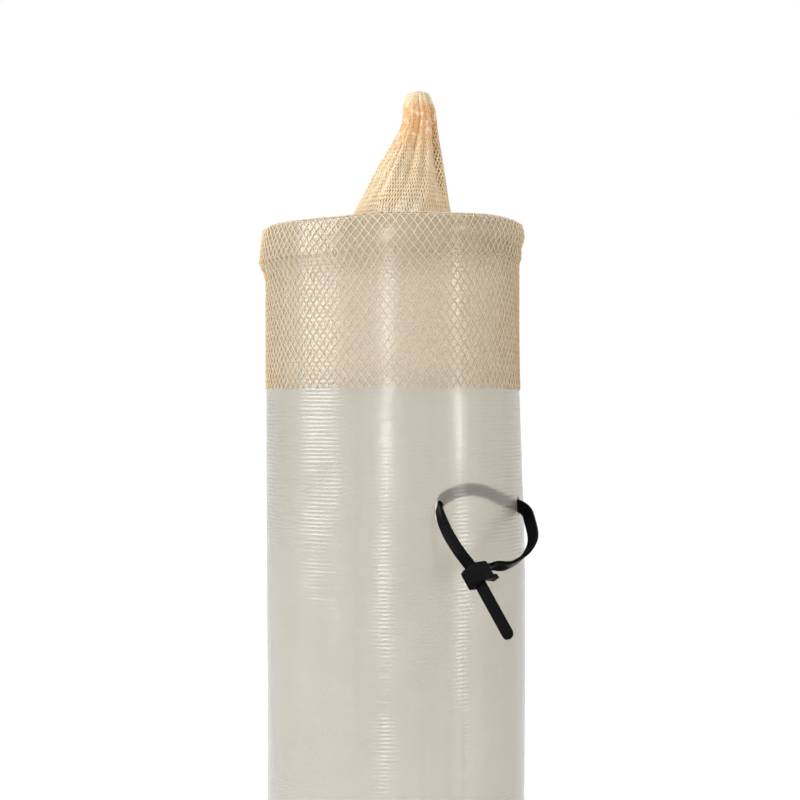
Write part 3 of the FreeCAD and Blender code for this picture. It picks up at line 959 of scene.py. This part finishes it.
class TREEGUARD_OT_head(bpy.types.Operator):
    """Mould the tie's head with its neck and raised collar"""
    bl_idname = "treeguard.head"
    bl_label = "Head"

    def execute(self, context):
        tie = context.scene.treeguard_tie
        collar = [((-2.35, -1.15), (-3.9, -3.3), (-3.2, 3.2)),
                  ((-2.62, -2.45), (-2.4, 2.4), (-2.6, 2.6))]
        piece = moulded(context, "head", "tie_head", collar, tie.voxel)
        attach(piece, "tie")
        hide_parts("tie_head")
        return {"FINISHED"}


class TREEGUARD_OT_lever(bpy.types.Operator):
    """Mould the release lever with its thumb tip"""
    bl_idname = "treeguard.lever"
    bl_label = "Release Lever"

    def execute(self, context):
        tie = context.scene.treeguard_tie
        piece = moulded(context, "lever", "release_lever", [], tie.voxel * 0.7)
        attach(piece, "lever")
        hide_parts("release_lever")
        return {"FINISHED"}


# ---------------------------------------------------------------- stage

def stage_floor_finish():
    """Pale floor that reads white to the eye and still takes the shadow."""
    f = Finish("stage_floor")
    grain = f.noise((8, 8, 8), detail=2.0)
    colour = f.blend(grain * 0.2, (0.64, 0.64, 0.64, 1), (0.60, 0.60, 0.60, 1))
    seen = f.rays("Camera", "Glossy", "Transmission")
    diffuse = f.node("ShaderNodeBsdfDiffuse", None, {"Color": colour})
    glow = f.node("ShaderNodeEmission", None, {"Color": (1, 1, 1, 1), "Strength": seen * 0.5})
    f.node_output(f.node("ShaderNodeAddShader", None, {0: diffuse, 1: glow}))
    return f.material


def area_lamp(context, name, place, target, size, power, colour=(1.0, 1.0, 1.0)):
    """A soft rectangular lamp that faces a point."""
    lamp = bpy.data.lights.new(name, "AREA")
    lamp.shape = "RECTANGLE"
    lamp.size, lamp.size_y = size
    lamp.energy = power
    lamp.color = colour
    holder = bpy.data.objects.new(name, lamp)
    holder.location = place
    holder.rotation_euler = (Vector(target) - Vector(place)).to_track_quat("-Z", "Y").to_euler()
    context.scene.collection.objects.link(holder)


class TREEGUARD_OT_stage(bpy.types.Operator):
    """Set the floor, the light and the camera"""
    bl_idname = "treeguard.stage"
    bl_label = "Stage"

    def execute(self, context):
        stage = context.scene.treeguard_stage
        context.scene.view_settings.view_transform = "Standard"
        lens = bpy.data.cameras.new("camera")
        lens.lens = stage.lens
        lens.sensor_width = 36.0
        camera = bpy.data.objects.new("camera", lens)
        camera.location = stage.eye
        camera.rotation_euler = (math.radians(90), 0, 0)
        context.scene.collection.objects.link(camera)
        context.scene.camera = camera

        side = 6.0
        floor = new_piece(context, "floor", mesh_from(
            "floor", [(-side, -side, 0), (side, -side, 0), (side, side, 0), (-side, side, 0)],
            [(0, 1, 2, 3)]), stage_floor_finish())

        world = bpy.data.worlds.new("studio")
        world.use_nodes = True
        sky = Tree(world.node_tree)
        world.node_tree.nodes.clear()
        level = sky.rays("Camera", "Transmission") * (1.0 - stage.sky) + stage.sky
        level = level.maths("MAXIMUM", level, sky.rays("Glossy") * 0.55)
        back = sky.node("ShaderNodeBackground", None,
                        {"Color": (1, 1, 1, 1), "Strength": level})
        out = world.node_tree.nodes.new("ShaderNodeOutputWorld")
        world.node_tree.links.new(back.socket, out.inputs["Surface"])
        context.scene.world = world

        middle = (0, 0, 0.2)
        area_lamp(context, "key", (-1.25, -0.46, 0.62), middle, (0.9, 0.7), stage.key * 1.45)
        area_lamp(context, "window", (-0.16, -1.1, 0.25), middle, (0.08, 0.30), stage.key * 0.2)
        area_lamp(context, "strip", (1.05, -0.62, 0.25), middle, (0.08, 0.34), stage.key * 0.24,
                  (1.0, 0.93, 0.84))
        return {"FINISHED"}


class TREEGUARD_PT_panel(bpy.types.Panel):
    """Lists the guard's pieces"""
    bl_idname = "TREEGUARD_PT_panel"
    bl_label = "Tree Guard"
    bl_space_type = "VIEW_3D"
    bl_region_type = "UI"
    bl_category = "Tree Guard"

    def draw(self, context):
        for label, group in GROUPS.items():
            box = self.layout.box()
            for name in group.__annotations__:
                box.prop(getattr(context.scene, label), name)
        for operator in OPERATORS:
            self.layout.operator(operator.bl_idname)


GROUPS = {"treeguard_tube": TubeSettings, "treeguard_net": NetSettings,
          "treeguard_tie": TieSettings, "treeguard_stage": StageSettings}
OPERATORS = (TREEGUARD_OT_stage, TREEGUARD_OT_tube, TREEGUARD_OT_tear_line, TREEGUARD_OT_net,
             TREEGUARD_OT_strap, TREEGUARD_OT_head, TREEGUARD_OT_lever)


def register():
    for name, group in GROUPS.items():
        bpy.utils.register_class(group)
        setattr(bpy.types.Scene, name, PointerProperty(type=group))
    for operator in OPERATORS:
        bpy.utils.register_class(operator)
    bpy.utils.register_class(TREEGUARD_PT_panel)


def unregister():
    bpy.utils.unregister_class(TREEGUARD_PT_panel)
    for operator in reversed(OPERATORS):
        bpy.utils.unregister_class(operator)
    for name, group in GROUPS.items():
        delattr(bpy.types.Scene, name)
        bpy.utils.unregister_class(group)


def main():
    register()
    bpy.ops.treeguard.stage()
    bpy.ops.treeguard.tube()
    bpy.ops.treeguard.tear_line()
    bpy.ops.treeguard.net()
    bpy.ops.treeguard.strap()
    bpy.ops.treeguard.head()
    bpy.ops.treeguard.lever()


if __name__ == "__main__":
    main()
